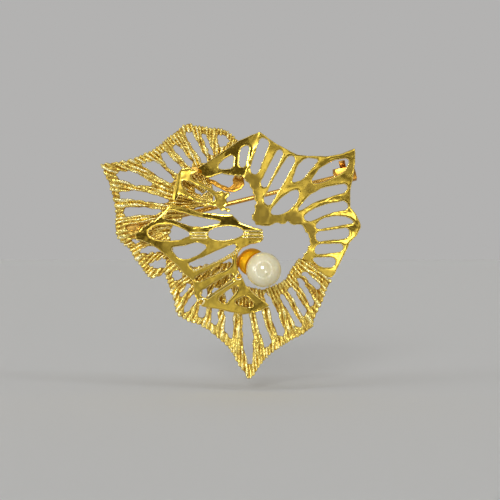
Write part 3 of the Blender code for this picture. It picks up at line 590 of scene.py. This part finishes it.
def centre_work(x, z):
    """Everything raised on the centre leaf, in millimetres."""
    def at(across, up):
        return spot("centre_leaf", across, up)

    lift = ribs(x, z, at(0.415, 0.712), at(0.55, 0.712), (-0.42, 0, 0.42))
    lift += ribs(x, z, at(0.79, 0.722), at(0.98, 0.722), (-0.5, 0, 0.5))
    lift += reeds(x, z, at(0.42, 0.4), at(0.79, 0.585), 0.5, 0.38)
    first, last = at(0.489, 0.115), at(0.778, 0.347)
    run = np.subtract(last, first)
    lift += ribs(x, z, first + PAIR_START * run, first + PAIR_END * run, (-0.2, 0.2), 0.1, 0.09)
    return lift + eyelet(x, z, first, run) + eyelet(x, z, last, run)


polished_leaf(
    "centre_polished_leaf", "centre_leaf",
    folded_at(spot("centre_leaf", 0.0, 0.719), spot("centre_leaf", 1.0, 0.719)), 14,
    step=CENTRE_STEP, work=centre_work,
)

# %% [markdown]
# ## Turned pieces
# The pearl, its cup and the posts are round about one line, as work from a lathe is. Each is spun
# from half of its outline, in finer steps than the frame's.

# %% Spin a profile
SHARP_ANGLE = 35
JOIN_WITHIN = 1e-7
OFF_AXIS = (0.3, 0.9, 0.2)


def cleaned(piece):
    """Joins points that meet, turns faces outwards and keeps real corners crisp."""
    bm = bmesh.new()
    bm.from_mesh(piece.data)
    bmesh.ops.remove_doubles(bm, verts=bm.verts, dist=JOIN_WITHIN)
    bmesh.ops.recalc_face_normals(bm, faces=bm.faces)
    bm.to_mesh(piece.data)
    bm.free()
    piece.data.shade_smooth()
    piece.data.set_sharp_from_angle(angle=math.radians(SHARP_ANGLE))
    return piece


def spun(name, profile, middle, axis, steps):
    """A lathe piece: a profile (radius, height) in millimetres spun about an axis."""
    axis = np.asarray(axis, float) / np.linalg.norm(axis)
    side = np.cross(axis, OFF_AXIS)
    side /= np.linalg.norm(side)
    other = np.cross(axis, side)
    profile = np.asarray(profile, float)
    turn = np.linspace(0, math.tau, steps, endpoint=False)
    spokes = np.cos(turn)[:, None, None] * side + np.sin(turn)[:, None, None] * other
    points = middle + profile[None, :, :1] * spokes + profile[None, :, 1:] * axis
    count = len(profile)
    faces = []
    for t in range(steps):
        a, b = t * count, (t + 1) % steps * count
        faces += [(a + i, a + i + 1, b + i + 1, b + i) for i in range(count - 1)]
    return cleaned(new_piece(name, points.reshape(-1, 3), faces))


def arc(radius, angles, drop=0.0):
    """Part of a circle as a profile, with its middle a little way down the axis."""
    return [(radius * math.sin(a), radius * math.cos(a) - drop) for a in angles]


def box_of(node):
    """The low and high corner of a node, in millimetres."""
    return (np.array(corner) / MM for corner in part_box(node))


print("corners over", SHARP_ANGLE, "degrees stay sharp")

# %% [markdown]
# ## The pearl in its cup
# A cultured pearl is glued on a peg in a domed cup. A pearl is never a true ball: it is grown in thin
# layers, so it is slightly uneven. The cup is spun from sheet and leans against the pearl's back, so
# both are spun about the peg's own line.

# %% Pearl and cup
PEARL_STEPS = 96
PEG_HOLE = 0.16
PEARL_LUMP, LUMP_SIZE, LUMP_SHIFT = 0.006, 1.6, 9
CUP_RADIUS = 2.2
CUP_BEHIND = 3.0
CUP_RIM = -2.2
SEAT_GAP = 0.04

pearl_low, pearl_high = box_of("pearl")
PEARL_MIDDLE = (pearl_low + pearl_high) / 2
PEARL_RADIUS = (pearl_high - pearl_low).max() / 2
peg = welded("pearl_peg")[0]
lean = np.linalg.svd(peg - peg.mean(0))[2][0]
if (peg.mean(0) - PEARL_MIDDLE) @ lean > 0:
    lean = -lean

ball = arc(PEARL_RADIUS, np.linspace(0, math.pi - PEG_HOLE, 60))
pearl_piece = spun("cultured_pearl", ball, PEARL_MIDDLE, lean, PEARL_STEPS)
grown = np.array([v.co for v in pearl_piece.data.vertices]) / MM - PEARL_MIDDLE
lumps = relief(grown[:, 0] / LUMP_SIZE + LUMP_SHIFT, grown[:, 2] / LUMP_SIZE + grown[:, 1], 61) - 0.5
grown = grown * (1 + PEARL_LUMP * lumps)[:, None] + PEARL_MIDDLE
pearl_piece.data.vertices.foreach_set("co", (grown * MM).astype(np.float32).ravel())
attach(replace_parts(pearl_piece, "pearl"), "brooch")

seat = PEARL_RADIUS + SEAT_GAP
lip = math.acos((CUP_RIM + CUP_BEHIND) / CUP_RADIUS)
inner = np.linspace(math.acos(CUP_RIM / seat), math.pi, 12)[::-1]
bowl = arc(seat, inner) + arc(CUP_RADIUS, np.linspace(lip, math.pi, 25), CUP_BEHIND)
cup_piece = spun("domed_cup", bowl, PEARL_MIDDLE, lean, PEARL_STEPS)
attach(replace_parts(cup_piece, "pearl_cup"), "brooch")
print("pearl radius", round(PEARL_RADIUS, 2), "axis", np.round(lean, 2))

# %% [markdown]
# ## Solder posts
# Each leaf is carried on the one behind by a short post. Solder runs up each end of a post as a small
# curved fillet, so a post is drawn as a spool that flares at both ends.

# %% Posts with solder fillets
FILLET = 0.22
SUNK = 0.24
POST_STEPS = 28
posts = sorted(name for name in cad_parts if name.startswith("post_"))
for node in posts:
    low, high = box_of(node)
    radius = (high[0] - low[0]) / 2
    half = (high[1] - low[1] + SUNK) / 2
    flare = [(radius + FILLET * (1 - math.sin(a)), half - FILLET * (1 - math.cos(a)))
             for a in np.linspace(0, math.pi / 2, 6)]
    section = [(0, half)] + flare + [(r, -h) for r, h in reversed(flare)] + [(0, -half)]
    spool = spun("soldered_" + node, section, (low + high) / 2, (0, 1, 0), POST_STEPS)
    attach(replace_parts(spool, node), "brooch")
print(len(posts), "posts")

# %% [markdown]
# ## Pin, hinge and catch
# The fittings were sawn and filed from rod, and the frame's solids already have their true shape.
# A filed edge is never quite sharp, though, so each is copied, its corners are joined and its sharp
# edges are eased by a narrow bevel, which gives them the thin bright line of real metal.

# %% Ease the edges of the fittings
BEVEL = 0.05
FLAT_ANGLE = 1


def eased(node, body):
    """A copy of a node with its sharp edges bevelled, in that node's place."""
    corners, triangles, _ = welded(node)
    piece = new_piece(node + "_eased", corners, triangles.tolist())
    bm = bmesh.new()
    bm.from_mesh(piece.data)
    bmesh.ops.dissolve_limit(bm, angle_limit=math.radians(FLAT_ANGLE), verts=bm.verts, edges=bm.edges)
    sharp = [edge for edge in bm.edges
             if len(edge.link_faces) == 2 and edge.calc_face_angle() > math.radians(SHARP_ANGLE)]
    bmesh.ops.bevel(bm, geom=sharp, offset=BEVEL * MM, segments=3, profile=0.5, affect="EDGES",
                    clamp_overlap=True)
    bm.to_mesh(piece.data)
    bm.free()
    cleaned(piece)
    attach(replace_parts(piece, node), body)


FITTINGS = {
    "hinge_fork": "brooch", "hinge_rivet": "brooch", "pin_knuckle": "pin", "pin_stem": "pin",
    "catch_plate": "brooch", "catch_housing": "brooch", "catch_roller": "roller",
    "cup_stem": "brooch",
}
for node, body in FITTINGS.items():
    eased(node, body)
eased("pearl_peg", "brooch")
print(len(FITTINGS) + 1, "fittings")

# %% [markdown]
# ## Finishes
# All metal here is gold of one colour family, and differs in how it was left: burnished, cast and
# pickled, spun and lacquered for the cup, or plain drawn wire for the fittings. The rear arch and the
# catch take a darker copy of the gold, which is painted shade. The helpers below keep each finish
# short: one adds a node, one feeds a socket from another socket or with a plain value, and one maps a
# range of values to another.

# %% Node helpers
def add(nodes, kind, **settings):
    node = nodes.new("ShaderNode" + kind)
    for key, value in settings.items():
        setattr(node, key, value)
    return node


def feed(links, source, socket):
    """Joins a socket to another one, or gives it a plain value."""
    if isinstance(source, bpy.types.NodeSocket):
        links.new(source, socket)
    else:
        socket.default_value = source


def remapped(nodes, links, value, start, end, low=0.0, high=1.0, **settings):
    """A value turned from the range start to end into the range low to high."""
    node = add(nodes, "MapRange", **settings)
    labels = ("Value", "From Min", "From Max", "To Min", "To Max")
    for label, source in zip(labels, (value, start, end, low, high)):
        feed(links, source, node.inputs[label])
    return node.outputs["Result"]


def mixed(nodes, links, kind, share, first, second):
    """A mix of two colours or numbers, all second where the share is 1."""
    node = add(nodes, "Mix", data_type=kind)
    for label, source in (("Factor", share), ("A", first), ("B", second)):
        feed(links, source, node.inputs[label])
    return node.outputs["Result"]


def noise(nodes, links, place, scale, detail, roughness=0.5):
    """Cloudy random values from 0 to 1."""
    node = add(nodes, "TexNoise")
    labels = ("Vector", "Scale", "Detail", "Roughness")
    for label, source in zip(labels, (place, scale, detail, roughness)):
        feed(links, source, node.inputs[label])
    return node.outputs["Fac"]


def ramp_of(nodes, stops):
    """A colour ramp with stops (position, colour)."""
    node = add(nodes, "ValToRGB")
    elements = node.color_ramp.elements
    while len(elements) > 1:
        elements.remove(elements[-1])
    elements[0].position = stops[0][0]
    for index, (position, colour) in enumerate(stops):
        element = elements.new(position) if index else elements[0]
        element.color = (*colour, 1)
    return node


def new_finish(name):
    material = bpy.data.materials.new(name)
    material.use_nodes = True
    nodes = material.node_tree.nodes
    return material, nodes, material.node_tree.links, nodes["Principled BSDF"]


print("node helpers ready")

# %% [markdown]
# One effect serves every metal: fine unevenness from handling and polishing. The group mixes two
# noises, and gives a height for a bump, a mask for the roughness and a colour that drifts between two
# tones of the alloy.

# %% Metal surface group
DRIFT_SCALE = 420
surface = bpy.data.node_groups.new("metal_surface", "ShaderNodeTree")
for label, kind, default in [
    ("Light tone", "Color", (1, 1, 1, 1)), ("Deep tone", "Color", (1, 1, 1, 1)),
    ("Grain size", "Float", 900.0), ("Smooth", "Float", 0.1), ("Rough", "Float", 0.3),
]:
    socket = surface.interface.new_socket(label, in_out="INPUT", socket_type="NodeSocket" + kind)
    socket.default_value = default
for label, kind in [("Color", "Color"), ("Roughness", "Float"), ("Height", "Float")]:
    surface.interface.new_socket(label, in_out="OUTPUT", socket_type="NodeSocket" + kind)
nodes, links = surface.nodes, surface.links
here, out = nodes.new("NodeGroupInput").outputs, nodes.new("NodeGroupOutput").inputs
place = add(nodes, "TexCoord").outputs["Object"]
drift = noise(nodes, links, place, DRIFT_SCALE, 3)
grain = noise(nodes, links, place, here["Grain size"], 5, 0.65)
links.new(mixed(nodes, links, "RGBA", drift, here["Deep tone"], here["Light tone"]), out["Color"])
links.new(remapped(nodes, links, grain, 0.3, 0.7, here["Smooth"], here["Rough"]), out["Roughness"])
links.new(grain, out["Height"])
print("group", surface.name)

# %% [markdown]
# Gold is painted a deeper colour down in its grooves and in the duller patches of polish, which is
# painted shade, and pale and bright on its crests and rims, which is a painted highlight. The crest
# number kept on the leaves says which is which.

# %% Gold finishes
GROOVE_ROUGHNESS = 0.45
RUBBED_FROM = 0.55
BUMP_STRENGTH = 0.5
# ranges of the crest number over which the colour turns to the painted shade colour
NO_GROOVES = (-1, -0.5)
BARK_GROOVES = (0.12, 0.6)
BRUSHED_PATCHES = (0.05, 0.4)


def gold(name, light, deep, groove, rubbed, grain, smooth, rough, bump, groove_share=NO_GROOVES):
    """Gold with drifting tone, painted shade in its grooves, a painted highlight on its crests and a
    faint bump.
    """
    material, nodes, links, shader = new_finish(name)
    skin = add(nodes, "Group", node_tree=surface)
    for label, value in [("Light tone", (*light, 1)), ("Deep tone", (*deep, 1)),
                         ("Grain size", grain), ("Smooth", smooth), ("Rough", rough)]:
        skin.inputs[label].default_value = value
    crest = add(nodes, "Attribute", attribute_name="crest").outputs["Fac"]
    # painted shade: a low crest number turns the colour to the deeper groove colour
    level = remapped(nodes, links, crest, *groove_share)
    colour = mixed(nodes, links, "RGBA", level, (*groove, 1), skin.outputs["Color"])
    # painted highlight: a high crest number turns the colour pale and bright
    worn = remapped(nodes, links, crest, RUBBED_FROM, 1.0)
    bumps = add(nodes, "Bump")
    bumps.inputs["Strength"].default_value = BUMP_STRENGTH
    bumps.inputs["Distance"].default_value = bump * MM
    links.new(skin.outputs["Height"], bumps.inputs["Height"])
    shader.inputs["Metallic"].default_value = 1
    links.new(mixed(nodes, links, "RGBA", worn, colour, (*rubbed, 1)), shader.inputs["Base Color"])
    links.new(mixed(nodes, links, "FLOAT", level, GROOVE_ROUGHNESS, skin.outputs["Roughness"]),
              shader.inputs["Roughness"])
    links.new(bumps.outputs["Normal"], shader.inputs["Normal"])
    return material


# the third colour of each gold is painted shade, and the fourth a painted highlight
textured_gold = gold("bark_gold", (0.96, 0.80, 0.22), (0.92, 0.69, 0.12), (0.34, 0.15, 0.01),
                     (1.0, 0.94, 0.56), 4000, 0.17, 0.36, 0.03, BARK_GROOVES)
polished_gold = gold("burnished_gold", (0.93, 0.69, 0.11), (0.82, 0.55, 0.065), (0.36, 0.25, 0.04),
                     (1.0, 0.92, 0.54), 2200, 0.07, 0.2, 0.016, BRUSHED_PATCHES)
# painted shade: a darker, more orange copy of the gold for the rear arch and the catch
amber_gold = gold("unpolished_rear_gold", (0.72, 0.38, 0.05), (0.56, 0.25, 0.03), (0.5, 0.2, 0.02),
                  (0.9, 0.6, 0.12), 2600, 0.16, 0.34, 0.01)
cup_gold = gold("spun_cup_gold", (1.0, 0.58, 0.02), (0.97, 0.50, 0.015), (0.8, 0.4, 0.1),
                (1.0, 0.6, 0.05), 900, 0.4, 0.5, 0.001)
fitting_gold = gold("drawn_wire_gold", (0.90, 0.58, 0.14), (0.78, 0.43, 0.08), (0.8, 0.4, 0.1),
                    (1.0, 0.8, 0.3), 3000, 0.18, 0.32, 0.002)
print("golds", textured_gold.name, polished_gold.name, amber_gold.name, cup_gold.name,
      fitting_gold.name)

# %% [markdown]
# Nacre is a stack of thin clear layers. Light goes a little way in and comes back soft and cream
# coloured, and the top layer mirrors like varnish, so the finish scatters light inside and has a
# strong clear coat.

# %% Pearl finish
nacre, nodes, links, shader = new_finish("nacre")
cloud = noise(nodes, links, add(nodes, "TexCoord").outputs["Object"], 500, 4)
cream = ramp_of(nodes, [(0.3, (0.94, 0.84, 0.52)), (0.7, (1.0, 0.93, 0.65))])
links.new(cloud, cream.inputs["Fac"])
links.new(cream.outputs["Color"], shader.inputs["Base Color"])
for label, value in {
    "Roughness": 0.2, "Specular IOR Level": 0.8, "Coat Weight": 1.0, "Coat IOR": 1.9,
    "Coat Roughness": 0.09, "Subsurface Weight": 0.25, "Subsurface Radius": (1.0, 0.8, 0.5),
    "Subsurface Scale": 0.6 * MM,
}.items():
    shader.inputs[label].default_value = value
print("finish", nacre.name)

# %% Give every piece its finish
OWN_FINISH = {
    "left_bark_leaf": textured_gold, "lower_bark_leaf": textured_gold,
    "right_polished_leaf": polished_gold, "folded_petal": polished_gold,
    "rear_arch_piece": amber_gold, "centre_polished_leaf": polished_gold,
    "cultured_pearl": nacre, "domed_cup": cup_gold, "pearl_peg_eased": cup_gold,
    # the catch takes the darker copy of the gold, as painted shade
    "catch_plate_eased": amber_gold, "catch_housing_eased": amber_gold,
}
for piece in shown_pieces():
    piece.data.materials.clear()
    piece.data.materials.append(OWN_FINISH.get(piece.name, fitting_gold))

# %% [markdown]
# ## Floor, light and camera
# The floor is wide, pale and matt. The metal doesn't mirror it, because jewellery is held clear of
# any table when it is shown, and a mirrored floor turns the polished leaves grey.

# %% Floor
FLOOR_GAP = 2.0 * MM
FLOOR_REACH = 3.0
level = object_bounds()[0].z - FLOOR_GAP
floor_mesh = bpy.data.meshes.new("floor")
floor_mesh.from_pydata([(x * FLOOR_REACH, y * FLOOR_REACH, level)
                        for x, y in ((-1, -1), (1, -1), (1, 1), (-1, 1))], [], [(0, 1, 2, 3)])
floor = bpy.data.objects.new("floor", floor_mesh)
bpy.context.scene.collection.objects.link(floor)
floor.visible_glossy = False
plain, _, _, shader = new_finish("pale_floor")
shader.inputs["Base Color"].default_value = (0.775, 0.805, 0.835, 1)
shader.inputs["Roughness"].default_value = 0.9
floor_mesh.materials.append(plain)
print("floor", round(level / MM, 2))

# %% [markdown]
# Jewellery is shown in a tent of white cloth with a hole for the camera, so polished metal mirrors
# bright walls at its edges and a darker middle. The world here is that tent. Its cloth is even behind
# the brooch, a bright ring of open room shows at its mouth, and the side round the lens is dark and
# warm. A few windows shine through the cloth as soft round patches, and the cloth's own folds break
# all of it up. Rays from the camera see a plain pale wall instead.

# %% Light tent
CLOTH, ROOM, LENS_SIDE = (1.0, 0.94, 0.86), (1.0, 1.0, 1.0), (1.0, 0.86, 0.6)
TENT = [(0.0, 0.5, CLOTH), (0.42, 0.5, CLOTH), (0.58, 0.75, CLOTH), (0.748, 0.8, CLOTH),
        (0.76, 3.0, ROOM), (0.792, 3.0, ROOM), (0.805, 0.14, LENS_SIDE), (0.94, 0.12, LENS_SIDE),
        (0.96, 0.26, CLOTH), (1.0, 0.34, CLOTH)]
WINDOWS = [((0.55, -0.81, -0.2), 15, 1.0), ((0.25, -0.94, -0.25), 10, 5.0),
           ((-0.9, -0.4, 0.15), 18, 3.2), ((-0.22, -0.86, -0.46), 24, 0.5)]
WINDOW_CORE = 0.35
FOLD_SCALE, FOLD_DETAIL = 3.2, 2
FOLD_RANGE, FOLD_LIGHT = (0.35, 0.65), (0.36, 1.08)
WALL = (0.45, 0.445, 0.44, 1)

world = bpy.data.worlds.new("tent")
bpy.context.scene.world = world
world.use_nodes = True
nodes, links = world.node_tree.nodes, world.node_tree.links
nodes.clear()
way = add(nodes, "TexCoord").outputs["Generated"]


def towards(aim):
    """How nearly a direction points along an aim, from -1 to 1."""
    dot = add(nodes, "VectorMath", operation="DOT_PRODUCT")
    dot.inputs[1].default_value = aim
    links.new(way, dot.inputs[0])
    return dot.outputs["Value"]


cloth = ramp_of(nodes, [(position, [value * t for t in tint]) for position, value, tint in TENT])
links.new(remapped(nodes, links, towards((0, -1, 0)), -1.0, 1.0), cloth.inputs["Fac"])
light = cloth.outputs["Color"]
for aim, spread, strength in WINDOWS:
    edge, core = (math.cos(math.radians(angle)) for angle in (spread, spread * WINDOW_CORE))
    glow = remapped(nodes, links, towards(Vector(aim).normalized()), edge, core, 0.0, strength,
                    interpolation_type="SMOOTHSTEP")
    both = add(nodes, "VectorMath", operation="ADD")
    links.new(light, both.inputs[0])
    links.new(glow, both.inputs[1])
    light = both.outputs["Vector"]
folds = noise(nodes, links, way, FOLD_SCALE, FOLD_DETAIL)
tent_light, wall = add(nodes, "Background"), add(nodes, "Background")
links.new(light, tent_light.inputs["Color"])
links.new(remapped(nodes, links, folds, *FOLD_RANGE, *FOLD_LIGHT), tent_light.inputs["Strength"])
wall.inputs["Color"].default_value = WALL
seen = add(nodes, "MixShader")
links.new(add(nodes, "LightPath").outputs["Is Camera Ray"], seen.inputs["Fac"])
links.new(tent_light.outputs["Background"], seen.inputs[1])
links.new(wall.outputs["Background"], seen.inputs[2])
links.new(seen.outputs["Shader"], add(nodes, "OutputWorld").inputs["Surface"])

sun_data = bpy.data.lights.new("window", "SUN")
sun_data.energy = 1.0
sun_data.angle = math.radians(14)
sun = bpy.data.objects.new("window", sun_data)
bpy.context.scene.collection.objects.link(sun)
sun.rotation_euler = Vector((0.16, 1, -0.3)).to_track_quat("-Z", "Y").to_euler()
print("tent with", len(WINDOWS), "windows and one soft sun")

# %% [markdown]
# The camera looks straight at the front, as at a brooch that is worn. The plain view transform keeps
# the yellow of the gold, which a filmic one would wash out.

# %% Camera
AIM = Vector((1.967, -5.4, -7.964)) * MM
DISTANCE = 222.2 * MM
camera_data = bpy.data.cameras.new("camera")
camera_data.lens = 100
camera_data.sensor_width = 36
camera_data.clip_start = 0.01
camera = bpy.data.objects.new("camera", camera_data)
bpy.context.scene.collection.objects.link(camera)
camera.location = AIM + Vector((0, -DISTANCE, 0))
camera.rotation_euler = (math.pi / 2, 0, 0)
bpy.context.scene.camera = camera
bpy.context.scene.view_settings.view_transform = "Standard"
print("camera at", [round(v / MM, 1) for v in camera.location])
